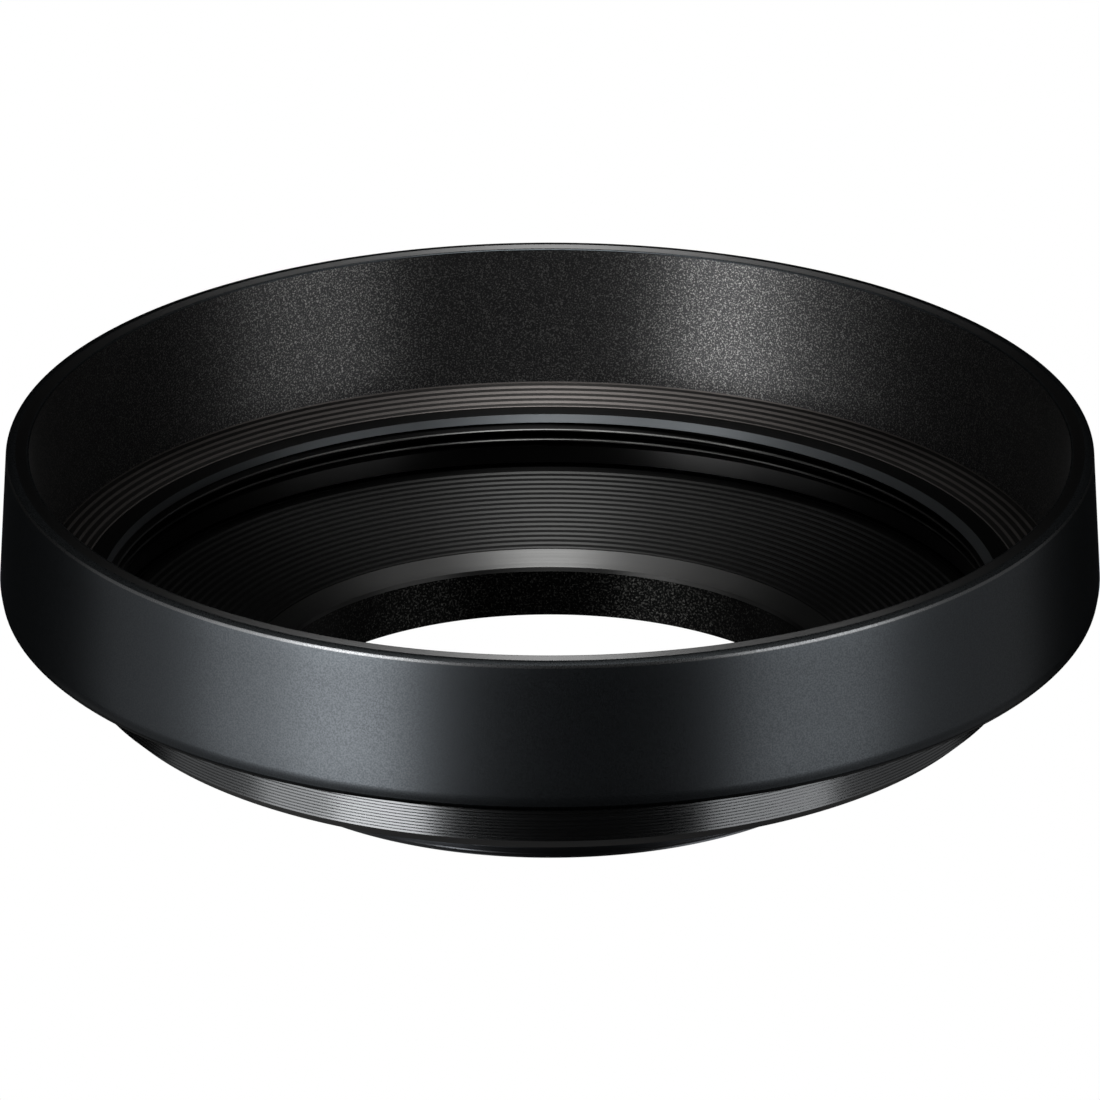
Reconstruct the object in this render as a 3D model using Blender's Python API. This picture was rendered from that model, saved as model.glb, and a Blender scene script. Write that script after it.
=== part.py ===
"""Screw-in metal lens hood: a wide shade band on a filter ring, screwed to a lined mounting collar.

Every piece is a turned ring about the Z axis. The origin is the middle of the rear end of the
aperture tube, and +Z runs forward, out of the hood. Radii and heights are in metres.
The sizes are built up outwards from the rear mounting thread and forwards from the tube's rear end.
"""

import math
from types import SimpleNamespace

import bmesh
import bpy

MM = 0.001

# ---- driving sizes ---------------------------------------------------------------------------

SEGMENTS = 48                       # flats round each turned ring
CLEARANCE = 0.30 * MM               # space between neighbouring pieces
THREAD_PITCH = 0.75 * MM            # fine filter thread, front and rear
THREAD_DEPTH = 0.406 * MM           # 0.5413 of the pitch
THREAD_CREST = 0.094 * MM           # flat left on each crest, an eighth of the pitch

MOUNT_THREAD_RADIUS = 23.0 * MM     # rear male thread, 46 mm
MOUNT_THREAD_LENGTH = 2.50 * MM
MOUNT_WALL = 1.10 * MM              # metal inside the rear thread
MOUNT_FLANGE_WIDTH = 2.20 * MM      # seat that meets the lens, outside the thread
MOUNT_UNDERCUT = 0.10 * MM          # corner relief cut into the seat, clear of the thread's crest

TUBE_WALL = 1.30 * MM               # aperture tube
TUBE_PROUD = 0.54 * MM              # the tube stands past the rear thread
TUBE_TAPER = 0.19 * MM              # the bore narrows towards the rear
BORE_LENGTH = 3.63 * MM             # rear end to the foot of the smooth cone

CONE_WIDTH = 1.40 * MM              # smooth cone round the bore
CONE_RISE = 0.80 * MM
CONE_EDGE = 0.35 * MM               # metal left at the cone's inner edge

RIB_COUNT = 17
RIB_SLOPE = math.radians(14.7)      # fall of the ribbed cone towards the bore
RIB_DEPTH = 0.16 * MM
BAFFLE_THICKNESS = 0.60 * MM
BAFFLE_LIP = 0.24 * MM              # plain lip outside the ribs
BAFFLE_SHOULDER = 0.10 * MM         # collar's edge left showing round the baffle

FILTER_THREAD_RADIUS = 31.0 * MM    # front female thread, 62 mm
FILTER_THREAD_TURNS = 2
THROAT_RELIEF = 0.15 * MM           # throat bore under the thread's major radius
THROAT_LENGTH = 1.38 * MM           # plain bore behind the thread
THROAT_STEP = 0.16 * MM             # drop from the throat to the ribs
THREAD_CHAMFER = 0.54 * MM
FLAT_WIDTH = 1.46 * MM              # flat that a filter seats on

GROOVE_COUNT = 5                    # the outermost one is closed by the band's wall
GROOVE_PITCH = 0.53 * MM
GROOVE_DEPTH = 0.12 * MM
GROOVE_SLOPE = math.radians(17.4)
FILTER_RING_THICKNESS = 0.87 * MM   # flat to the ring's rear face
FILTER_RING_BEVEL = 0.37 * MM       # bevel height on the ring's outer rear edge
FILTER_RING_BEVEL_WIDTH = 1.05 * MM

JOINT_SPIGOT_WALL = 0.60 * MM       # spigot outside the throat bore
JOINT_SOCKET_WALL = 0.73 * MM
WASHER_WIDTH = 1.50 * MM
WASHER_THICKNESS = 0.30 * MM

COLLAR_FACE_HEIGHT = 2.55 * MM      # lined grip face
COLLAR_CHAMFER_WIDTH = 0.87 * MM
COLLAR_CHAMFER_HEIGHT = 0.82 * MM
COLLAR_REAR_SETBACK = 0.20 * MM     # collar's rear face in front of the lens seat

SHADE_DEPTH = 9.96 * MM             # rim to the outer edge of the grooves
SHADE_WALL = 1.60 * MM              # front rim, inside to outside
SHADE_INNER_FLARE = 0.54 * MM       # the inner wall opens by this much
SHADE_OUTER_TAPER = 0.53 * MM       # the outer wall narrows by this much
SHADE_SKIRT = 0.58 * MM             # band's rear face behind the grooves' outer edge
SHADE_EDGE_HEIGHT = 1.20 * MM       # the outer wall turns in over this height at the rear
SHADE_EDGE_TUCK = 0.11 * MM         # how far it turns in before the fillet
SHADE_FILLET = 0.40 * MM            # rounded rear edge of the band
FILLET_STEPS = 3
RIM_BREAK = 0.12 * MM               # broken inner edge of the rim
RIM_ROUND_WIDTH = 0.64 * MM         # soft outer edge of the rim
RIM_ROUND_HEIGHT = 0.34 * MM


# ---- sizes that follow -----------------------------------------------------------------------

def heights(radii):
    """Heights of the faces, worked out from the rear end forwards."""
    seat = TUBE_PROUD + MOUNT_THREAD_LENGTH
    cone_top = BORE_LENGTH + CONE_RISE
    lip = cone_top + (radii.baffle_out - radii.cone_out) * math.tan(RIB_SLOPE)
    throat_foot = lip + THROAT_STEP
    thread_foot = throat_foot + THROAT_LENGTH
    thread_top = thread_foot + THREAD_PITCH * (FILTER_THREAD_TURNS + 0.25)
    flat = thread_top + THREAD_CHAMFER
    disc_rear = flat - FILTER_RING_THICKNESS
    washer_top = disc_rear - CLEARANCE
    washer_rear = washer_top - WASHER_THICKNESS
    collar_top = washer_rear - CLEARANCE
    groove_edge = flat + (radii.shade_in - radii.flat_out) * math.tan(GROOVE_SLOPE)
    return SimpleNamespace(
        seat=seat,
        cone_top=cone_top,
        lip=lip,
        throat_foot=throat_foot,
        thread_foot=thread_foot,
        thread_top=thread_top,
        flat=flat,
        disc_rear=disc_rear,
        washer_top=washer_top,
        washer_rear=washer_rear,
        collar_top=collar_top,
        groove_edge=groove_edge,
        rim=groove_edge + SHADE_DEPTH,
    )


def widths():
    """Radii of the faces, worked out from the rear thread inwards and outwards."""
    mount_bore = MOUNT_THREAD_RADIUS - THREAD_DEPTH - MOUNT_WALL
    tube_out = mount_bore - CLEARANCE
    bore = tube_out - TUBE_WALL
    flange_out = MOUNT_THREAD_RADIUS + MOUNT_FLANGE_WIDTH
    throat = FILTER_THREAD_RADIUS - THROAT_RELIEF
    baffle_seat = throat - BAFFLE_SHOULDER
    flat_in = FILTER_THREAD_RADIUS - THREAD_DEPTH + THREAD_CHAMFER
    flat_out = flat_in + FLAT_WIDTH
    shade_in = flat_out + GROOVE_PITCH * GROOVE_COUNT
    spigot_out = throat + JOINT_SPIGOT_WALL
    socket = spigot_out + CLEARANCE
    return SimpleNamespace(
        mount_bore=mount_bore,
        tube_out=tube_out,
        bore=bore,
        flange_out=flange_out,
        collar_bore=flange_out + CLEARANCE,
        cone_out=bore + CONE_WIDTH,
        baffle_out=baffle_seat - CLEARANCE,
        baffle_seat=baffle_seat,
        throat=throat,
        flat_in=flat_in,
        flat_out=flat_out,
        disc_out=shade_in - CLEARANCE,
        spigot_out=spigot_out,
        socket=socket,
        collar_out=socket + JOINT_SOCKET_WALL,
        shade_in=shade_in,
    )


radii = widths()
level = heights(radii)


def cone_rear(radius, drop):
    """Height of a surface that lies `drop` behind the ribbed cone."""
    return level.cone_top + (radius - radii.cone_out) * math.tan(RIB_SLOPE) - drop


def groove_height(radius):
    """Height of the filter ring's grooved face, at the tops of its ridges."""
    return level.flat + (radius - radii.flat_out) * math.tan(GROOVE_SLOPE)


# ---- building tools --------------------------------------------------------------------------

def finish(name, colour, roughness, metallic):
    """A plain Principled material."""
    material = bpy.data.materials.new(name)
    material.use_nodes = True
    shader = material.node_tree.nodes["Principled BSDF"]
    shader.inputs["Base Color"].default_value = (*colour, 1.0)
    shader.inputs["Roughness"].default_value = roughness
    shader.inputs["Metallic"].default_value = metallic
    return material


def turned_ring(name, profile, material, parent):
    """Spin a closed (radius, height) outline once round the Z axis."""
    mesh = bpy.data.meshes.new(name)
    shape = bmesh.new()
    corners = [shape.verts.new((radius, 0.0, height)) for radius, height in profile]
    edges = [shape.edges.new((corner, corners[i - 1])) for i, corner in enumerate(corners)]
    bmesh.ops.spin(
        shape,
        geom=corners + edges,
        axis=(0.0, 0.0, 1.0),
        cent=(0.0, 0.0, 0.0),
        steps=SEGMENTS,
        angle=math.tau,
        use_merge=True,
    )
    bmesh.ops.recalc_face_normals(shape, faces=shape.faces)
    if shape.calc_volume(signed=True) < 0.0:
        bmesh.ops.reverse_faces(shape, faces=shape.faces)
    shape.to_mesh(mesh)
    shape.free()
    mesh.shade_smooth()
    mesh.set_sharp_from_angle(angle=math.radians(25.0))
    ring = bpy.data.objects.new(name, mesh)
    ring.data.materials.append(material)
    ring.parent = parent
    bpy.context.scene.collection.objects.link(ring)
    return ring


def empty(name, parent=None):
    """An unrendered handle on the hood's axis."""
    handle = bpy.data.objects.new(name, None)
    handle.parent = parent
    bpy.context.scene.collection.objects.link(handle)
    return handle


def arc(centre, radius, start, end, steps):
    """Points on a quarter turn or less, angles in degrees from the outward direction."""
    points = []
    for i in range(steps + 1):
        angle = math.radians(start + (end - start) * i / steps)
        points.append((centre[0] + radius * math.cos(angle), centre[1] + radius * math.sin(angle)))
    return points


def thread_ridges(crest, root, foot, turns):
    """Ridges of a fine thread from the foot upwards, drawn as rings at the real pitch."""
    points = [(root, foot)]
    for i in range(turns):
        middle = foot + THREAD_PITCH * (i + 0.5)
        points.append((crest, middle - 0.5 * THREAD_CREST))
        points.append((crest, middle + 0.5 * THREAD_CREST))
        points.append((root, foot + THREAD_PITCH * (i + 1)))
    return points


# ---- the pieces ------------------------------------------------------------------------------

def make_aperture_tube(material, parent):
    """Plain tube behind the smooth cone; its inside is the clear aperture."""
    inner_top = BORE_LENGTH - CONE_EDGE - CLEARANCE
    outer_top = cone_rear(radii.tube_out, BAFFLE_THICKNESS + CLEARANCE)
    profile = [
        (radii.bore - TUBE_TAPER, 0.0),
        (radii.tube_out, 0.0),
        (radii.tube_out, outer_top),
        (radii.bore, inner_top),
    ]
    return turned_ring("aperture_tube", profile, material, parent)


def make_mount_ring(material, parent):
    """Rear male thread with the flange that seats on the lens."""
    minor = MOUNT_THREAD_RADIUS - THREAD_DEPTH
    turns = int(MOUNT_THREAD_LENGTH // THREAD_PITCH)
    drop = BAFFLE_THICKNESS + CLEARANCE
    profile = [(radii.mount_bore, TUBE_PROUD)]
    profile += thread_ridges(MOUNT_THREAD_RADIUS, minor, TUBE_PROUD, turns)
    profile += [
        (minor, level.seat + MOUNT_UNDERCUT),
        (MOUNT_THREAD_RADIUS + MOUNT_UNDERCUT, level.seat + MOUNT_UNDERCUT),
        (MOUNT_THREAD_RADIUS + MOUNT_UNDERCUT, level.seat),
        (radii.flange_out, level.seat),
        (radii.flange_out, cone_rear(radii.flange_out, drop)),
        (radii.mount_bore, cone_rear(radii.mount_bore, drop)),
    ]
    return turned_ring("mount_ring", profile, material, parent)


def make_ribbed_baffle(material, parent):
    """Dished ring whose sharp ribs break up stray light, with a smooth cone round the bore."""
    ribs_out = radii.baffle_out - BAFFLE_LIP
    pitch = (ribs_out - radii.cone_out) / RIB_COUNT
    profile = [
        (radii.bore, BORE_LENGTH - CONE_EDGE),
        (radii.cone_out, cone_rear(radii.cone_out, BAFFLE_THICKNESS)),
        (radii.baffle_out, cone_rear(radii.baffle_out, BAFFLE_THICKNESS)),
        (radii.baffle_out, level.lip),
    ]
    for i in range(RIB_COUNT):
        outer = ribs_out - pitch * i
        middle = outer - 0.5 * pitch
        profile.append((outer, cone_rear(outer, RIB_DEPTH)))
        profile.append((middle, cone_rear(middle, 0.0)))
    profile.append((radii.cone_out, cone_rear(radii.cone_out, RIB_DEPTH)))
    profile.append((radii.bore, BORE_LENGTH))
    return turned_ring("ribbed_baffle", profile, material, parent)


def make_grip_collar(material, parent):
    """Outer collar: grip face, socket for the hood's spigot and conical seat for the baffle."""
    drop = BAFFLE_THICKNESS + CLEARANCE
    rear = level.seat + COLLAR_REAR_SETBACK
    face_foot = level.collar_top - COLLAR_FACE_HEIGHT
    floor = level.throat_foot - CLEARANCE
    profile = [
        (radii.collar_bore, rear),
        (radii.collar_out - COLLAR_CHAMFER_WIDTH, face_foot - COLLAR_CHAMFER_HEIGHT),
        (radii.collar_out, face_foot),
        (radii.collar_out, level.collar_top),
        (radii.socket, level.collar_top),
        (radii.socket, floor),
        (radii.baffle_seat, floor),
        (radii.baffle_seat, cone_rear(radii.baffle_seat, drop)),
        (radii.collar_bore, cone_rear(radii.collar_bore, drop)),
    ]
    return turned_ring("grip_collar", profile, material, parent)


def make_slip_washer(material, parent):
    """Thin washer that keeps the hood from locking on the collar."""
    profile = [
        (radii.socket, level.washer_rear),
        (radii.socket + WASHER_WIDTH, level.washer_rear),
        (radii.socket + WASHER_WIDTH, level.washer_top),
        (radii.socket, level.washer_top),
    ]
    return turned_ring("slip_washer", profile, material, parent)


def make_filter_ring(material, parent):
    """Grooved disc with the front female thread and the spigot that screws into the collar."""
    crest = FILTER_THREAD_RADIUS - THREAD_DEPTH
    profile = [
        (radii.throat, level.throat_foot),
        (radii.spigot_out, level.throat_foot),
        (radii.spigot_out, level.disc_rear),
        (radii.disc_out - FILTER_RING_BEVEL_WIDTH, level.disc_rear),
        (radii.disc_out, level.disc_rear + FILTER_RING_BEVEL),
        (radii.disc_out, groove_height(radii.disc_out) - GROOVE_DEPTH),
    ]
    for i in reversed(range(1, GROOVE_COUNT)):
        ridge = radii.flat_out + GROOVE_PITCH * i
        valley = ridge - 0.5 * GROOVE_PITCH
        profile.append((ridge, groove_height(ridge)))
        profile.append((valley, groove_height(valley) - GROOVE_DEPTH))
    profile += [
        (radii.flat_out, level.flat),
        (radii.flat_in, level.flat),
        (crest, level.thread_top),
    ]
    ridges = thread_ridges(crest, FILTER_THREAD_RADIUS, level.thread_foot, FILTER_THREAD_TURNS)
    profile += reversed(ridges)
    return turned_ring("filter_ring", profile, material, parent)


def make_shade_ring(material, parent):
    """Wide outer band that shades the lens, pressed round the filter ring."""
    rim_out = radii.shade_in + SHADE_INNER_FLARE + SHADE_WALL
    rear = level.groove_edge - SHADE_SKIRT
    widest = rim_out + SHADE_OUTER_TAPER
    profile = [
        (radii.shade_in, rear),
        (radii.shade_in, level.groove_edge),
        (rim_out - SHADE_WALL, level.rim - RIM_BREAK),
        (rim_out - SHADE_WALL + RIM_BREAK, level.rim),
        (rim_out - RIM_ROUND_WIDTH, level.rim),
        (rim_out - 0.29 * RIM_ROUND_WIDTH, level.rim - 0.29 * RIM_ROUND_HEIGHT),
        (rim_out, level.rim - RIM_ROUND_HEIGHT),
        (widest, rear + SHADE_EDGE_HEIGHT),
    ]
    centre = (widest - SHADE_EDGE_TUCK - SHADE_FILLET, rear + SHADE_FILLET)
    profile += arc(centre, SHADE_FILLET, 0.0, -90.0, FILLET_STEPS)
    return turned_ring("shade_ring", profile, material, parent)


def main():
    for thing in list(bpy.data.objects):
        bpy.data.objects.remove(thing, do_unlink=True)
    collar = empty("collar_axis")
    rising = empty("hood_rise_axis", collar)
    turning = empty("hood_turn_axis", rising)
    satin = finish("satin_black_anodised", (0.020, 0.022, 0.025), 0.34, 0.85)
    blasted = finish("blasted_black_anodised", (0.022, 0.024, 0.027), 0.42, 0.85)
    matte = finish("matte_black_paint", (0.008, 0.008, 0.009), 0.75, 0.0)
    fibre = finish("black_slip_fibre", (0.015, 0.015, 0.015), 0.6, 0.0)
    make_aperture_tube(matte, collar)
    make_mount_ring(satin, collar)
    make_ribbed_baffle(satin, collar)
    make_grip_collar(satin, collar)
    make_slip_washer(fibre, rising)
    make_filter_ring(satin, turning)
    make_shade_ring(blasted, turning)


main()
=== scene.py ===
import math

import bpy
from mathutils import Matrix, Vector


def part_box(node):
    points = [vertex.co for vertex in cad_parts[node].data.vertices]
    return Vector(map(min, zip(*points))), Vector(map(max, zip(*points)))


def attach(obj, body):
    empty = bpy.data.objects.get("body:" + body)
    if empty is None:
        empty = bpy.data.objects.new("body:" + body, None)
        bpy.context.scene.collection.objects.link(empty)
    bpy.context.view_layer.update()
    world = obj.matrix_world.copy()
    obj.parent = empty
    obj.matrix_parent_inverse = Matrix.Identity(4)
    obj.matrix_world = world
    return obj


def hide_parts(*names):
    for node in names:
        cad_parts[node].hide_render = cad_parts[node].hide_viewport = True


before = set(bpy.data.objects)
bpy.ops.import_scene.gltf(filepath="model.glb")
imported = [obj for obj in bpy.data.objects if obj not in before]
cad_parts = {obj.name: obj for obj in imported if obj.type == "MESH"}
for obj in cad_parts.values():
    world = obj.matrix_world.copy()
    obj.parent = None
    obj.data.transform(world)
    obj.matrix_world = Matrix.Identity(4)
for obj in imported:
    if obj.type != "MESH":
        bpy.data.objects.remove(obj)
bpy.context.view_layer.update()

# %% [markdown]
# # A screw-in metal lens hood
#
# The hood is a stack of turned aluminium rings, anodised black. Everything that you see is a
# surface of revolution, so the lesson is about two things: drawing a good section for a lathe, and
# giving black metal the small marks that tell the eye how each face was cut.
#
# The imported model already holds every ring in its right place. Its rings are coarse, so each one
# gets a finer ring here, drawn in the same place and never larger than the coarse one.

# %% [markdown]
# ## Sizes that come from the frame
#
# A ring's box gives its outer radius and its two ends. Its inner radius is not in the box, so it is
# read from the ring's own corners: the nearest and farthest corner from the axis at a height.
# Every section below starts from these numbers, so the fine rings follow the coarse ones.

# %% Read the rings' sections
MM = 0.001


def corners(node):
    """Every different (radius, height) corner of a coarse ring, in millimetres."""
    found = set()
    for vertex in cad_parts[node].data.vertices:
        x, y, z = vertex.co
        found.add((round(math.hypot(x, y) / MM, 3), round(z / MM, 3)))
    return sorted(found)


def radii_at(node, height):
    """Nearest and farthest corner from the axis at a height, in millimetres."""
    there = [r for r, z in corners(node) if abs(z - height) < 0.02]
    return min(there), max(there)


def ends(node):
    """Lowest and highest point of a ring, in millimetres."""
    low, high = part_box(node)
    return low.z / MM, high.z / MM


rim_top = ends("shade_ring")[1]
band_rear = ends("shade_ring")[0]
band_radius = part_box("shade_ring")[1].x / MM
shade_foot_radius = corners("shade_ring")[0][0]
ring_rear, groove_top = ends("filter_ring")
throat_radius = radii_at("filter_ring", ring_rear)[0]
spigot_radius = radii_at("filter_ring", ring_rear)[1]
collar_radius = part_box("grip_collar")[1].x / MM
collar_top = ends("grip_collar")[1]
baffle_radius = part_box("ribbed_baffle")[1].x / MM
baffle_top = ends("ribbed_baffle")[1]
bore_radius = corners("ribbed_baffle")[0][0]
tube_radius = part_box("aperture_tube")[1].x / MM
tube_mouth_radius = radii_at("aperture_tube", 0.0)[0]
seat_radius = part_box("mount_ring")[1].x / MM
mount_end = ends("mount_ring")[0]
print(f"rim {rim_top:.2f} mm up, band {2 * band_radius:.1f} mm across")
print(f"throat {throat_radius:.2f} mm, baffle {baffle_radius:.2f} mm to {bore_radius:.2f} mm")
print(f"tube mouth {tube_mouth_radius:.2f} mm")

# %% [markdown]
# ## A lathe
#
# A ring can be made with a Screw modifier, with bmesh's spin or by laying rows of points one by
# one.
# Rows laid one by one are chosen, because a screw thread then needs nothing new: the same lathe
# lets a row wander up and down as it goes round. A section is a closed list of (radius, height)
# points in millimetres, and a section may also be a function of the angle.

# %% The lathe
STEPS = 256                 # points round a ring; the flats are too short to see at this size
SHARP = math.radians(19)    # edges bent by more than this stay crisp


def turn(name, section, steps=STEPS):
    """Make a closed ring from a section, or from a function that gives the section at an angle."""
    section_at = section if callable(section) else lambda angle: section
    rows = [section_at(math.tau * i / steps) for i in range(steps)]
    count = len(rows[0])
    points = []
    for i, row in enumerate(rows):
        c, s = math.cos(math.tau * i / steps), math.sin(math.tau * i / steps)
        points += [(r * c * MM, r * s * MM, z * MM) for r, z in row]
    faces = []
    for i in range(steps):
        here, there = i * count, (i + 1) % steps * count
        for j in range(count):
            k = (j + 1) % count
            faces.append((here + j, there + j, there + k, here + k))
    mesh = bpy.data.meshes.new(name)
    mesh.from_pydata(points, [], faces)
    mesh.shade_smooth()
    mesh.set_sharp_from_angle(angle=SHARP)
    ring = bpy.data.objects.new(name, mesh)
    bpy.context.scene.collection.objects.link(ring)
    print(f"{name}: {count} points in the section, {len(faces)} faces")
    return ring


def arc(centre, radius, start, end, steps=6):
    """Points round a corner, with angles in degrees: 0 points outwards and 90 points up."""
    points = []
    for i in range(steps + 1):
        angle = math.radians(start + (end - start) * i / steps)
        points.append((centre[0] + radius * math.cos(angle), centre[1] + radius * math.sin(angle)))
    return points


def along(start, end, steps):
    """Points on a straight line, without its last one."""
    return [
        (start[0] + (end[0] - start[0]) * i / steps, start[1] + (end[1] - start[1]) * i / steps)
        for i in range(steps)
    ]


# %% [markdown]
# ## Writing shaders as sums
#
# A node tree is hard to read as code, because most of it is plumbing. Here one small class wraps an
# output socket, so that `1 - mask * 0.3` adds the Math nodes by itself. All other nodes come from
# one method of the tree: it takes the node's type, its settings and what goes into it. The metals,
# the floor and the background all use that method.

# %% Sockets with arithmetic, and a tree that adds nodes
class Wire:
    """An output socket that can be added, subtracted, multiplied and raised."""

    def __init__(self, tree, socket):
        self.tree = tree
        self.socket = socket

    def combine(self, operation, first, second):
        return self.tree.add("ShaderNodeMath", {"operation": operation}, {0: first, 1: second})

    def __add__(self, other):
        return self.combine("ADD", self, other)

    def __radd__(self, other):
        return self.combine("ADD", other, self)

    def __sub__(self, other):
        return self.combine("SUBTRACT", self, other)

    def __rsub__(self, other):
        return self.combine("SUBTRACT", other, self)

    def __mul__(self, other):
        return self.combine("MULTIPLY", self, other)

    def __rmul__(self, other):
        return self.combine("MULTIPLY", other, self)

    def __pow__(self, other):
        return self.combine("POWER", self, other)


class Tree:
    """A node tree that adds nodes by their type, settings and inputs."""

    def __init__(self, nodes_of):
        nodes_of.use_nodes = True
        self.tree = nodes_of.node_tree

    def plug(self, target, value):
        if isinstance(value, Wire):
            self.tree.links.new(value.socket, target)
        else:
            target.default_value = value

    def add(self, kind, settings, inputs, output=0):
        """Add a node: its type, its settings, then what each input socket gets."""
        node = self.tree.nodes.new(kind)
        for name, value in settings.items():
            setattr(node, name, value)
        for key, value in inputs.items():
            self.plug(node.inputs[key], value)
        return Wire(self, node.outputs[output]) if node.outputs else None


class Metal(Tree):
    """A material with one Principled shader."""

    def __init__(self, name, colour, roughness, metallic, specular=0.5, turned=0.0):
        self.material = bpy.data.materials.new(name)
        super().__init__(self.material)
        self.material.diffuse_color = (*colour, 1.0)
        self.shader = self.tree.nodes["Principled BSDF"]
        self.shader.inputs["Base Color"].default_value = (*colour, 1.0)
        self.shader.inputs["Roughness"].default_value = roughness
        self.shader.inputs["Metallic"].default_value = metallic
        self.shader.inputs["Specular IOR Level"].default_value = specular
        self.shader.inputs["Anisotropic"].default_value = turned
        self.shader.inputs["Anisotropic Rotation"].default_value = 0.25

    def feed(self, socket, value):
        self.plug(self.shader.inputs[socket], value)

    def grain(self, vector, scale, detail=2.0, roughness=0.5):
        """Soft noise from 0 to 1."""
        return self.add(
            "ShaderNodeTexNoise",
            {"noise_dimensions": "3D"},
            {"Vector": vector, "Scale": scale, "Detail": detail, "Roughness": roughness},
        )

    def ramp(self, value, low, high, dark=0.0, light=1.0):
        """Stretch values between low and high to run from dark to light, and hold them there."""
        return self.add(
            "ShaderNodeMapRange",
            {"clamp": True},
            {"Value": value, "From Min": low, "From Max": high, "To Min": dark, "To Max": light},
        )

    def blend(self, factor, first, second):
        """Mix two colours."""
        return self.add(
            "ShaderNodeMix",
            {"data_type": "RGBA"},
            {"Factor": factor, "A": (*first, 1.0), "B": (*second, 1.0)},
            output="Result",
        )

    def bump(self, height, strength, distance):
        return self.add(
            "ShaderNodeBump",
            {},
            {"Height": height, "Strength": strength, "Distance": distance * MM},
        )


print("shader tools ready")

# %% [markdown]
# ## Where a point is on a turned ring
#
# A lathe tool leaves marks that run round the ring. To draw such marks a shader needs the distance
# from the axis, which is worked out from the object's own coordinates. They travel with the ring
# when it turns, so the marks never slide. Colours, glints and marks all start from these.

# %% Coordinates for a ring
def place(metal):
    """Own coordinates, distance from the axis and height, as wires; in metres."""
    own = metal.add("ShaderNodeTexCoord", {}, {}, output="Object")
    split = metal.add("ShaderNodeSeparateXYZ", {}, {"Vector": own})
    x = split
    y = Wire(metal, split.socket.node.outputs["Y"])
    z = Wire(metal, split.socket.node.outputs["Z"])
    radius = (x * x + y * y) ** 0.5
    return own, radius, z


def tool_marks(metal, radius, z, fineness):
    """Noise that changes across the section but hardly at all round the ring."""
    across = metal.add("ShaderNodeCombineXYZ", {}, {"X": radius, "Y": z, "Z": 0.0})
    return metal.grain(across, fineness, detail=3.0)


# %% [markdown]
# ## Blasted and anodised: the band and the bore
#
# The wide band is blasted with fine beads before it is anodised. Each bead leaves a dimple a
# fraction of a millimetre wide, so a lamp's reflection breaks into fine grey sparkle. The inside is
# blasted harder than the outside. One noise makes the dimples as a bump, and it also changes the
# colour and the roughness a little, so that some grains catch the light. The bore's dead black
# coat is thick with matting grains, which look the same at this size, so it is made here too.

# %% Blasted metal
def blasted_metal(name, dimple, strength, roughness, dark, bright, turned=0.0, rare=0.38):
    """Blasted metal whose grains vary between two greys; dimple is the grain size in mm.

    A higher value of rare leaves fewer bright grains.
    """
    metal = Metal(name, dark, roughness, 1.0, turned=turned)
    own, radius, z = place(metal)
    beads = metal.grain(own, 1.0 / (dimple * MM), detail=1.5, roughness=0.6)
    metal.feed("Normal", metal.bump(beads, strength, dimple * 0.35))
    glint = metal.ramp(beads, rare, rare + 0.24)
    metal.feed("Base Color", metal.blend(glint, dark, bright))
    metal.feed("Roughness", roughness + 0.03 - glint * 0.06)
    return metal.material


band_outside = blasted_metal(
    "band_outside", 0.11, 0.035, 0.315, (0.037, 0.041, 0.045), (0.051, 0.056, 0.061)
)
# A much darker copy of the band's metal for the rim's dome, its inner break and the rounded rear
# edge: painted shade.
band_edge_shaded = blasted_metal(
    "band_edge_shaded", 0.11, 0.02, 0.30, (0.010, 0.011, 0.012), (0.013, 0.015, 0.016)
)
# A lighter copy of the band's metal for the rim's corner: a painted highlight along the corner.
rim_corner_highlight = blasted_metal(
    "rim_corner_highlight", 0.11, 0.02, 0.30, (0.082, 0.084, 0.086), (0.106, 0.109, 0.112)
)
band_inside = blasted_metal(
    "band_inside", 0.11, 0.10, 0.38, (0.034, 0.034, 0.035), (0.230, 0.228, 0.222), 0.75, 0.50
)
bore_paint = blasted_metal(
    "bore_paint", 0.14, 0.12, 0.42, (0.002, 0.002, 0.002), (0.036, 0.036, 0.034), 0.75, 0.52
)
print("blasted metals:", band_outside.name, band_inside.name, bore_paint.name)

# %% [markdown]
# ## Turned and anodised: the rings inside
#
# The filter ring, the baffle and the collar keep the marks of the lathe tool: hair-fine rings.
# They are drawn as a bump that follows the distance from the axis and the height. Black dye is a
# little uneven, so a broad and very weak noise varies the colour.

# %% Turned metal
def turned_metal(name, marks, strength, roughness, colour, turned=0.9):
    metal = Metal(name, colour, roughness, 1.0, turned=turned)
    own, radius, z = place(metal)
    rings = tool_marks(metal, radius, z, 1.0 / (marks * MM))
    metal.feed("Normal", metal.bump(rings, strength, marks * 0.4))
    cloud = metal.grain(own, 120.0, detail=3.0)
    lighter = tuple(channel * 1.35 for channel in colour)
    metal.feed("Base Color", metal.blend(cloud, colour, lighter))
    metal.feed("Roughness", roughness + (rings - 0.5) * 0.12)
    return metal.material


# tread_metal and step_metal are much darker copies of the same anodised metal for level faces,
# painted shade; cone_metal is a lighter copy for the smooth cone, a painted highlight.
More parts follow.
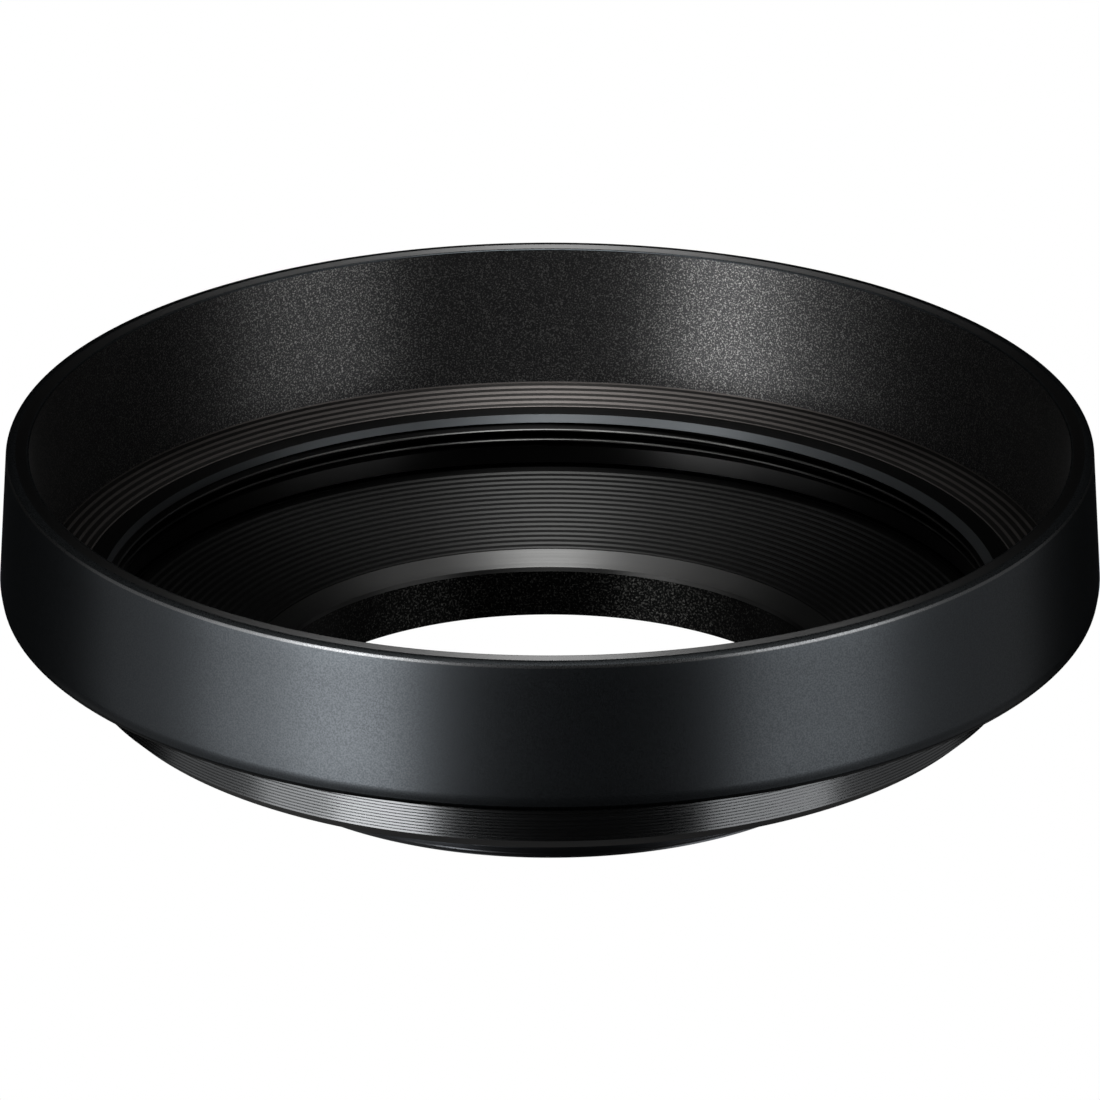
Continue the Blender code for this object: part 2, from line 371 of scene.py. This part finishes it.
tread_metal = turned_metal("tread_metal", 0.12, 0.02, 0.48, (0.0017, 0.0017, 0.0017), 0.85)
step_metal = turned_metal("step_metal", 0.12, 0.02, 0.50, (0.0102, 0.0097, 0.0093), 0.82)
groove_metal = turned_metal("groove_metal", 0.12, 0.02, 0.53, (0.048, 0.044, 0.042), 0.80)
lead_in_metal = turned_metal("lead_in_metal", 0.12, 0.02, 0.57, (0.066, 0.071, 0.075), 0.94)
throat_metal = turned_metal("throat_metal", 0.12, 0.02, 0.30, (0.022, 0.022, 0.022), 0.5)
rib_metal = turned_metal("rib_metal", 0.10, 0.02, 0.44, (0.0100, 0.0100, 0.0098), 0.75)
cone_metal = turned_metal("cone_metal", 0.10, 0.02, 0.47, (0.035, 0.035, 0.0345), 0.95)
collar_metal = turned_metal("collar_metal", 0.10, 0.0, 0.20, (0.105, 0.108, 0.111), 0.0)
collar_satin = turned_metal("collar_satin", 0.10, 0.02, 0.52, (0.052, 0.052, 0.052), 0.3)
mount_metal = turned_metal("mount_metal", 0.12, 0.05, 0.34, (0.060, 0.063, 0.068), 0.7)
rim_metal = turned_metal("rim_metal", 0.10, 0.02, 0.52, (0.041, 0.041, 0.041), 0.96)
print("turned metals:", sum("metal" in m.name for m in bpy.data.materials))

# %% [markdown]
# ## Washer fibre
#
# The washer lies inside the screw joint, so its fibre is plain: matt, with coarse lumps that are a
# little paler than the rest.

# %% Washer fibre
def fibre(name, grain_size, strength, roughness, colour):
    coat = Metal(name, colour, roughness, 0.0, specular=0.35)
    own, radius, z = place(coat)
    lumps = coat.grain(own, 1.0 / (grain_size * MM), detail=2.0, roughness=0.6)
    coat.feed("Normal", coat.bump(lumps, strength, grain_size * 0.5))
    paler = tuple(channel * 2.2 for channel in colour)
    coat.feed("Base Color", coat.blend(coat.ramp(lumps, 0.45, 0.75), colour, paler))
    coat.feed("Roughness", roughness + (lumps - 0.5) * 0.2)
    return coat.material


washer_fibre = fibre("washer_fibre", 0.15, 0.5, 0.70, (0.016, 0.016, 0.016))
print("fibre:", washer_fibre.name)

# %% [markdown]
# ## Dressing a ring
#
# Each ring gets its materials, takes the place of a coarse ring and rides on that ring's body. When
# a ring has several finishes, each face picks its own from where it lies and how level it is. Some
# of these are only darker and lighter copies of one metal, which are painted shade and painted
# highlight.

# %% Materials, bodies and zones

def dress(ring, node, body, slot, *materials):
    """Give a ring its materials, let it stand for a coarse ring and ride on that ring's body."""
    for material in materials:
        ring.data.materials.append(material)
    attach(ring, body)
    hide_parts(node)
    return ring


def finish_zones(ring, choose):
    """Pick each face's material from its middle's radius and height and from how level it is."""
    counts = {}
    for face in ring.data.polygons:
        middle = face.center
        zone = choose(math.hypot(middle.x, middle.y) / MM, middle.z / MM, face.normal.z)
        face.material_index = zone
        counts[zone] = counts.get(zone, 0) + 1
    print(f"{ring.name}: faces in each finish {dict(sorted(counts.items()))}")


# %% [markdown]
# ## The shade band
#
# The band is a plain wall, a little wider at the rear outside and at the front inside. Its rim is a
# flat land, then a low dome that falls away outwards, then a corner that leans less and less until
# it meets the face. The rear edge is well rounded so that it feels smooth in the hand. A highlight
# follows such corners and would show each flat, so they are drawn in several short steps.

# %% Shade band
RIM_WALL = 1.60
RIM_DOME = (0.59, 0.10)      # width and fall of the domed outer part of the rim
RIM_CORNER_HEIGHT = 0.21     # the soft corner between the dome and the face
RIM_CORNER_LEAN = (31, 7)    # how far it leans back at its top and foot, in degrees
RIM_INNER_BREAK = (0.17, 0.10)
FOOT_FLARE = (0.06, 0.135)   # a bright little bevel where the wall meets the grooves
EDGE_HEIGHT = 1.20           # the face turns in over this height at the rear
EDGE_TUCK = 0.11
EDGE_CURVE = 1.7             # over 1, so that the tuck starts gently
REAR_ROUND = 0.40
OUTER_TAPER = 0.53

rim_radius = band_radius - OUTER_TAPER
rim_inner_radius = rim_radius - RIM_WALL
band = [(shade_foot_radius, band_rear), (shade_foot_radius, groove_top)]
band += along(
    (shade_foot_radius + FOOT_FLARE[0], groove_top + FOOT_FLARE[1]),
    (rim_inner_radius, rim_top - RIM_INNER_BREAK[1]),
    6,
)
for step in range(4):
    turned = math.radians(30 * step)
    r = rim_inner_radius + RIM_INNER_BREAK[0] * (1 - math.cos(turned))
    band.append((r, rim_top - RIM_INNER_BREAK[1] * (1 - math.sin(turned))))
lean_steps = 5
corner_drop = RIM_CORNER_HEIGHT / lean_steps
lean_top, lean_foot = RIM_CORNER_LEAN
leans = [
    math.tan(math.radians(lean_top + (lean_foot - lean_top) * (i + 0.5) / lean_steps))
    for i in range(lean_steps)
]
corner_radius = rim_radius - corner_drop * sum(leans)
dome_radius = corner_radius - RIM_DOME[0]
band.append((dome_radius, rim_top))
band.append((dome_radius + 0.5 * RIM_DOME[0], rim_top - 0.35 * RIM_DOME[1]))
band.append((corner_radius, rim_top - RIM_DOME[1]))
for lean in leans:
    r, z = band[-1]
    band.append((r + corner_drop * lean, z - corner_drop))
edge_top = (band_radius, band_rear + EDGE_HEIGHT)
band += along(band[-1], edge_top, 6)[1:]
for step in range(7):
    share = step / 6
    r = band_radius - EDGE_TUCK * share**EDGE_CURVE
    band.append((r, edge_top[1] - (EDGE_HEIGHT - REAR_ROUND) * share))
corner = (band_radius - EDGE_TUCK - REAR_ROUND, band_rear + REAR_ROUND)
band += arc(corner, REAR_ROUND, -12, -90, 8)
band.reverse()
shade = turn("shade_band", band)
dress(
    shade, "shade_ring", "hood", "blasted_anodised",
    band_outside, band_inside, rim_metal, band_edge_shaded, rim_corner_highlight,
)


def band_zone(r, z, level):
    """0 the face, 1 the inner wall, 2 the land, 3 the dome and the edges, 4 the rim's corner."""
    # the dome, the inner break and the rear round take the darker copy of the metal, painted shade
    if z > rim_top - RIM_DOME[1] and r > rim_inner_radius:
        return 2 if rim_inner_radius + RIM_INNER_BREAK[0] < r < dome_radius else 3
    # the rim's corner takes the lighter copy of the metal, a painted highlight
    if z > rim_top - RIM_DOME[1] - RIM_CORNER_HEIGHT and r > dome_radius:
        return 4
    if z < band_rear + REAR_ROUND:
        return 3
    return 1 if r < rim_inner_radius + 0.01 else 0


finish_zones(shade, band_zone)

# %% [markdown]
# ## The filter ring
#
# From the outside in: steps that break up light, a flat where a filter seats, a lead-in chamfer,
# a little over two turns of thread and a plain throat. The steps and the flat are the same all the
# way round. The thread climbs by one pitch each turn, so the section is a function of the angle
# there. Its crests are painted lighter as a highlight and its flanks nearly black as shade. That is
# coloured by the distance from the axis, because a crest wanders across the faces as it climbs.

# %% Filter ring
PITCH = 0.75
THREAD_DEPTH = 0.406
THREAD_RADIUS = throat_radius + 0.15     # the throat is bored a little under the thread's roots
GROOVE_PITCH = 0.53
GROOVE_COUNT = 5
RISER_WIDTH = 0.17
RISER_HEIGHT = 0.15
FLAT_GAP = 0.08              # from the flat's edge to the first step
STEP_BREAK = (0.04, 0.006)   # a step's edge is broken by this width and height
GROOVE_SLOPE = math.tan(math.radians(17.4))
LEAD_IN = 0.54
FLAT = 1.46
THREAD_TURNS = 2.25
THREAD_RUN_OUT = 0.30        # the thread fades into the throat over this height
ROWS_A_TURN = 14
LEVEL_ENOUGH = 0.93          # faces whose normal climbs more than this count as level

crest_radius = THREAD_RADIUS - THREAD_DEPTH
flat_inner = crest_radius + LEAD_IN
flat_outer = flat_inner + FLAT
disc_radius = shade_foot_radius - 0.02
flat_height = max(z for r, z in corners("filter_ring") if abs(r - flat_inner) < 0.02)
disc_rear = min(z for r, z in corners("filter_ring") if r > spigot_radius + 0.5)
thread_top = flat_height - LEAD_IN
thread_foot = thread_top - THREAD_TURNS * PITCH


def fade(value, start, end):
    """0 before start, 1 after end and smooth between them."""
    t = min(max((value - start) / (end - start), 0.0), 1.0)
    return t * t * (3 - 2 * t)


def thread_form(turns):
    """Height of a 60 degree thread above its root, from 0 to 1, with flat crests and roots."""
    saw = abs(turns % 1.0 - 0.5) * 2
    return min(max((0.82 - saw) / 0.70, 0.0), 1.0)


def grooved_face():
    """Steps from the outer edge inwards: a nearly level tread, then a riser that faces the axis."""
    points = []
    for i in reversed(range(GROOVE_COUNT + 1)):
        riser_top = flat_outer + FLAT_GAP + GROOVE_PITCH * i
        riser_foot = riser_top - RISER_WIDTH
        top = flat_height + (riser_top - flat_outer) * GROOVE_SLOPE
        tread_end = riser_top + GROOVE_PITCH - RISER_WIDTH
        if tread_end < disc_radius:
            points.append((tread_end - 0.03, top + 0.02))
        points.append((riser_top + STEP_BREAK[0], top + STEP_BREAK[1]))
        points.append((riser_top, top - 0.004))
        points.append((riser_foot + 0.03, top - RISER_HEIGHT + 0.015))
    return [(r, z) for r, z in points if flat_outer + 0.01 < r < disc_radius - 0.01]


def filter_section(angle):
    edge = flat_height + (disc_radius - flat_outer) * GROOVE_SLOPE
    section = [
        (throat_radius, ring_rear + 0.05),
        (throat_radius + 0.05, ring_rear),
        (spigot_radius, ring_rear),
        (spigot_radius, disc_rear),
        (disc_radius - 1.05, disc_rear),
        (disc_radius, disc_rear + 0.37),
        (disc_radius, edge),
    ]
    section += grooved_face()
    section += [
        (flat_outer, flat_height - 0.02),
        (flat_outer - 0.03, flat_height),
        (flat_inner + 0.02, flat_height),
    ]
    rows = int((thread_top - thread_foot) / PITCH * ROWS_A_TURN)
    for i in range(rows + 1):
        z = thread_top - (thread_top - thread_foot) * i / rows
        lift = thread_form(z / PITCH - angle / math.tau)
        lift *= fade(z, thread_foot, thread_foot + THREAD_RUN_OUT)
        section.append((THREAD_RADIUS - THREAD_DEPTH * lift, z))
    section.append((throat_radius, thread_foot - 0.1))
    return section


def thread_painted_crests(name, crest):
    """Thread metal with painted shade on its flanks and a painted highlight on its crests; crest is
    their radius in mm.
    """
    # the near-black colour is painted shade on the flanks, the lighter one a painted highlight on
    # the crests
    dark, painted_crest_colour = (0.001, 0.001, 0.001), (0.045, 0.045, 0.044)
    metal = Metal(name, dark, 0.36, 1.0, turned=0.6)
    own, radius, z = place(metal)
    # the painted highlight follows the crests by their distance from the axis
    crest_highlight = metal.ramp(radius, (crest + 0.03) * MM, (crest + 0.09) * MM, 1.0, 0.0)
    metal.feed("Base Color", metal.blend(crest_highlight, dark, painted_crest_colour))
    return metal.material


filter_ring = turn("filter_ring_fine", filter_section)
dress(
    filter_ring, "filter_ring", "hood", "turned_anodised",
    groove_metal, tread_metal, lead_in_metal, thread_painted_crests("thread_metal", crest_radius),
    throat_metal, step_metal,
)


# The flat and the level treads take much darker copies of the ring's metal than the risers: painted
# shade.
def filter_zone(r, z, level):
    """0 risers, 1 the flat, 2 the lead-in, 3 the thread, 4 throat and spigot, 5 treads."""
    if z > flat_height - 0.05 and r > flat_inner:
        if level < LEVEL_ENOUGH:
            return 0
        return 5 if r > flat_outer + 0.01 else 1
    if z > thread_top - 0.02 and r < flat_inner + 0.02:
        return 2
    return 4 if z < thread_foot else 3


finish_zones(filter_ring, filter_zone)

# %% [markdown]
# ## The ribbed baffle
#
# Light that reaches the inside at a low angle must not bounce into the lens. Seventeen sharp ribs
# face it, and below them a smooth cone leads to the bore. Each rib has a steep side that faces the
# bore and a gentle back. Their tips are tiny flats, since a real tool cannot cut a perfect edge.

# %% Ribbed baffle
RIB_COUNT = 17
RIB_SLOPE = math.tan(math.radians(14.7))
RIB_PROFILE = ((0.04, 0.0), (0.70, 0.020), (0.76, 0.026), (0.96, 0.108))  # share of pitch, drop
CONE_DROP = 0.16             # the last rib stands this much above the cone
CONE_WIDTH = 1.40
CONE_RISE = 0.80
BAFFLE_LIP = 0.24
BAFFLE_THICKNESS = 0.60

bore_top = max(z for r, z in corners("ribbed_baffle") if abs(r - bore_radius) < 0.02)
cone_radius = bore_radius + CONE_WIDTH
cone_top = bore_top + CONE_RISE
ribs_outer = baffle_radius - BAFFLE_LIP
rib_pitch = (ribs_outer - cone_radius) / RIB_COUNT


def cone_height(radius):
    return cone_top + (radius - cone_radius) * RIB_SLOPE


baffle = [
    (bore_radius, bore_top - 0.35),
    (cone_radius, cone_height(cone_radius) - BAFFLE_THICKNESS),
    (baffle_radius, cone_height(baffle_radius) - BAFFLE_THICKNESS),
    (baffle_radius, baffle_top),
]
for i in range(RIB_COUNT):
    outer = ribs_outer - rib_pitch * i
    for share, drop in RIB_PROFILE:
        baffle.append((outer - rib_pitch * share, cone_height(outer) - drop))
baffle.append((cone_radius + 0.02, cone_height(cone_radius) - CONE_DROP))
baffle.append((cone_radius - 0.03, cone_top - 0.03 * CONE_RISE / CONE_WIDTH))
cone_start = (cone_radius - 0.1, cone_top - 0.1 * CONE_RISE / CONE_WIDTH)
cone_end = (bore_radius + 0.04, bore_top + 0.02)
baffle += along(cone_start, cone_end, 3)
baffle += [cone_end, (bore_radius, bore_top - 0.02)]
ribs = turn("ribbed_baffle_fine", baffle)
dress(ribs, "ribbed_baffle", "collar", "baffle_anodised", rib_metal, cone_metal, tread_metal)


# The ribs' level backs take a near-black copy of the metal, painted shade, and the smooth cone a
# lighter copy, a painted highlight.
def baffle_zone(r, z, level):
    """0 the ribs' steep sides, 1 the cone and everything inside it, 2 the ribs' level backs."""
    if r < cone_radius:
        return 1
    return 2 if level > LEVEL_ENOUGH else 0


finish_zones(ribs, baffle_zone)

# %% [markdown]
# ## The grip collar
#
# The collar carries the baffle and meets the hood at the screw joint. Its face has fine lines cut
# round it for the fingers. They are real grooves here and not a bump, since they are what a hand
# feels and what breaks the highlight into stripes. A narrow land above them leans in to the joint.

# %% Grip collar
LINE_PITCH = 0.224
LINE_DEPTH = 0.034
LINE_PROFILE = ((0.08, 0.0), (0.70, 0.0), (0.78, 0.7), (0.86, 1.0), (0.94, 0.7))  # shares
FACE_HEIGHT = 2.55
TOP_LAND = 0.27
CHAMFER_WIDTH = 0.87
CHAMFER_HEIGHT = 0.82
SOCKET_GAP = 0.30            # clearance under the spigot, and under the baffle's edge

face_foot = collar_top - FACE_HEIGHT
collar_bore = corners("grip_collar")[0][0]
collar_rear = ends("grip_collar")[0]
socket_radius = radii_at("grip_collar", collar_top)[0]
socket_floor = ring_rear - SOCKET_GAP
seat_at_bore = max(z for r, z in corners("grip_collar") if abs(r - collar_bore) < 0.02)
baffle_seat = throat_radius - 0.10
seat_under_baffle = cone_height(baffle_seat) - BAFFLE_THICKNESS - SOCKET_GAP

collar = [
    (collar_bore, collar_rear),
    (collar_radius - CHAMFER_WIDTH, face_foot - CHAMFER_HEIGHT),
    (collar_radius - 0.03, face_foot - 0.03),
]
lines = int((FACE_HEIGHT - TOP_LAND) / LINE_PITCH)
for i in range(lines):
    z = face_foot + LINE_PITCH * i
    for share, depth in LINE_PROFILE:
        collar.append((collar_radius - LINE_DEPTH * depth, z + LINE_PITCH * share))
collar += [
    (collar_radius, collar_top - TOP_LAND),
    (collar_radius - 0.05, collar_top - TOP_LAND + 0.05),
    (collar_radius - 0.10, collar_top),
    (socket_radius, collar_top),
    (socket_radius, socket_floor),
    (baffle_seat, socket_floor),
    (baffle_seat, seat_under_baffle),
    (collar_bore, seat_at_bore),
]
grip = turn("grip_collar_fine", collar)
dress(grip, "grip_collar", "collar", "lined_anodised", collar_metal, collar_satin)
finish_zones(grip, lambda r, z, level: 1 if z < face_foot + 0.02 else 0)

# %% [markdown]
# ## The mounting thread, the aperture tube and the washer
#
# The rear thread is the same form as the front one, turned inside out. A short lead-in helps it
# start, and it fades out before the seat. The tube's bore is coated dead black. The washer sits
# hidden in the screw joint.

# %% Mounting ring
MOUNT_THREAD_RADIUS = 23.0
MOUNT_RUN_OUT = (0.35, 0.10)  # the thread fades between these heights under the seat
MOUNT_ROWS = 36
LEAD_SLOPE = 0.8
mount_seat = min(z for r, z in corners("mount_ring") if abs(r - seat_radius) < 0.02)
mount_bore = radii_at("mount_ring", mount_end)[0]
flange_top = max(z for r, z in corners("mount_ring") if abs(r - seat_radius) < 0.02)
inner_top = max(z for r, z in corners("mount_ring") if abs(r - mount_bore) < 0.02)


def mount_section(angle):
    section = [(seat_radius, flange_top), (mount_bore, inner_top), (mount_bore, mount_end)]
    for i in range(MOUNT_ROWS + 1):
        z = mount_end + (mount_seat - 0.02 - mount_end) * i / MOUNT_ROWS
        lift = thread_form(z / PITCH - angle / math.tau)
        lift *= 1 - fade(z, mount_seat - MOUNT_RUN_OUT[0], mount_seat - MOUNT_RUN_OUT[1])
        radius = MOUNT_THREAD_RADIUS - THREAD_DEPTH * (1 - lift)
        lead_in = MOUNT_THREAD_RADIUS - THREAD_DEPTH + (z - mount_end) * LEAD_SLOPE
        section.append((min(radius, lead_in), z))
    section += [(seat_radius - 0.05, mount_seat), (seat_radius, mount_seat + 0.05)]
    section.reverse()
    return section


mount = turn("mount_ring_fine", mount_section)
dress(mount, "mount_ring", "collar", "turned_anodised", mount_metal)

# %% Aperture tube
tube_outer_top = ends("aperture_tube")[1]
tube = [(tube_mouth_radius, 0.05), (tube_mouth_radius + 0.05, 0.0)]
tube += arc((tube_radius - 0.12, 0.12), 0.12, -90, 0, 3)
tube += [(tube_radius, tube_outer_top), (bore_radius + 0.01, bore_top - 0.36)]
tube += along((bore_radius + 0.005, bore_top - 0.37), (tube_mouth_radius, 0.05), 4)
aperture = turn("aperture_tube_fine", tube)
dress(aperture, "aperture_tube", "collar", "matte_paint", bore_paint)

# %% Slip washer
washer_low, washer_high = ends("slip_washer")
washer_inner, washer_outer = radii_at("slip_washer", washer_low)
EDGE = 0.05
washer = [
    (washer_inner, washer_low + EDGE),
    (washer_inner + EDGE, washer_low),
    (washer_outer - EDGE, washer_low),
    (washer_outer, washer_low + EDGE),
    (washer_outer, washer_high - EDGE),
    (washer_outer - EDGE, washer_high),
    (washer_inner + EDGE, washer_high),
    (washer_inner, washer_high - EDGE),
]
slip = turn("slip_washer_fine", washer)
dress(slip, "slip_washer", "washer", "slip_fibre", washer_fibre)

# %% [markdown]
# ## Camera
#
# A long lens from a good distance keeps the ring's ellipses true. The camera looks down on the hood
# by 23 degrees, level from side to side, at a point just above the collar.

# %% Camera
CAMERA_DISTANCE = 0.894
CAMERA_FALL = math.radians(23.34)
AIM_HEIGHT = 0.0135
LENS = 424.4

camera_data = bpy.data.cameras.new("camera")
camera_data.lens = LENS
camera_data.sensor_width = 36.0
camera_data.clip_start = 0.01
camera_data.clip_end = 20.0
camera = bpy.data.objects.new("camera", camera_data)
camera.location = (
    0.0,
    -CAMERA_DISTANCE * math.cos(CAMERA_FALL),
    AIM_HEIGHT + CAMERA_DISTANCE * math.sin(CAMERA_FALL),
)
camera.rotation_euler = (math.pi / 2 - CAMERA_FALL, 0.0, 0.0)
bpy.context.scene.collection.objects.link(camera)
bpy.context.scene.camera = camera
print("camera at", [round(v, 4) for v in camera.location])

# %% [markdown]
# ## Floor, background and lights
#
# Black metal shows nothing but reflections, so the lamps are the picture. Two tall soft boxes stand
# in front, the stronger one on the left, and give the band its two soft bands of light. Each is cut
# into a weak lower half, which the band sees, and a strong upper half, which the inner wall sees.
# Weaker boxes beside them let the light fall off slowly. One large box hangs overhead for the ribs
# and the cone, one stands behind, and two faint ones low at the sides reach the collar's chamfer.
# The floor glows white for the camera only, so it never lights the metal from below, and it is
# clear from underneath, so that the rear of the hood can be looked at.

# %% Floor and world
def floor_material(name, colour, strength):
    """White light from above, and clear from below."""
    material = bpy.data.materials.new(name)
    floor_tree = Tree(material)
    floor_tree.tree.nodes.clear()
    glow = floor_tree.add("ShaderNodeEmission", {}, {"Color": (*colour, 1.0), "Strength": strength})
    clear = floor_tree.add("ShaderNodeBsdfTransparent", {}, {})
    side = floor_tree.add("ShaderNodeNewGeometry", {}, {}, output="Backfacing")
    either = floor_tree.add("ShaderNodeMixShader", {}, {"Fac": side, 1: glow, 2: clear})
    floor_tree.add("ShaderNodeOutputMaterial", {}, {"Surface": either})
    return material


FLOOR_HALF = 3.0
FLOOR_DROP = 0.0002
WHITE = (1.0, 1.0, 1.0)
floor_corners = [(-1, -1), (1, -1), (1, 1), (-1, 1)]
floor_mesh = bpy.data.meshes.new("floor")
floor_mesh.from_pydata(
    [(x * FLOOR_HALF, y * FLOOR_HALF, 0) for x, y in floor_corners], [], [(0, 1, 2, 3)]
)
floor = bpy.data.objects.new("floor", floor_mesh)
floor.data.materials.append(floor_material("floor_white", WHITE, 1.0))
floor.location.z = -FLOOR_DROP
floor.visible_diffuse = False
floor.visible_glossy = False
floor.visible_shadow = False
bpy.context.scene.collection.objects.link(floor)

world = bpy.data.worlds.new("studio")
world_tree = Tree(world)
bpy.context.scene.world = world
backdrop = world_tree.tree.nodes["Background"]
seen = world_tree.add("ShaderNodeLightPath", {}, {}, output="Is Camera Ray")
world_tree.plug(backdrop.inputs["Color"], (*WHITE, 1.0))
world_tree.plug(backdrop.inputs["Strength"], seen)
bpy.context.scene.view_settings.view_transform = "Standard"
print("white floor and background")


# %% Lights
def panel(name, azimuth, elevation, glow, distance=0.9):
    """A rectangular lamp that faces the hood and spans two ranges of angles, in degrees.

    Azimuth 0 is the camera's side and 90 the right. Elevation 90 is straight above.
    """
    a, e = math.radians(sum(azimuth) / 2), math.radians(sum(elevation) / 2)
    width = 2 * distance * math.tan(math.radians(azimuth[1] - azimuth[0]) / 2)
    height = 2 * distance * math.tan(math.radians(elevation[1] - elevation[0]) / 2)
    away = Vector((math.sin(a) * math.cos(e), -math.cos(a) * math.cos(e), math.sin(e)))
    lamp = bpy.data.lights.new(name, "AREA")
    lamp.shape = "RECTANGLE"
    lamp.size = width
    lamp.size_y = height
    lamp.energy = glow * math.pi * width * height
    box = bpy.data.objects.new(name, lamp)
    box.location = away * distance + Vector((0.0, 0.0, AIM_HEIGHT))
    box.rotation_euler = away.to_track_quat("Z", "Y").to_euler()
    box.visible_camera = False
    bpy.context.scene.collection.objects.link(box)
    print(f"{name}: {width:.2f} x {height:.2f} m, radiance {glow}")
    return box


LOW, MIDDLE, HIGH = -31, -2, 26
panel("left_key", (-51, -30), (LOW, MIDDLE), 5.7)
panel("left_key_top", (-51, -30), (MIDDLE, HIGH), 15.0)
panel("left_fade", (-73, -51), (LOW, HIGH), 2.4)
panel("left_edge", (-104, -73), (LOW, HIGH), 0.45)
panel("right_key", (40, 70), (LOW, MIDDLE), 1.9)
panel("right_key_top", (40, 70), (MIDDLE, HIGH), 5.5)
panel("right_edge", (70, 117), (LOW, HIGH), 0.28)
panel("left_low", (-125, -65), (-66, -36), 0.22)
panel("right_low", (65, 125), (-66, -36), 0.22)
panel("overhead", (-9, 9), (62, 116), 23.0)
panel("behind", (160, 200), (55, 65), 7.5)
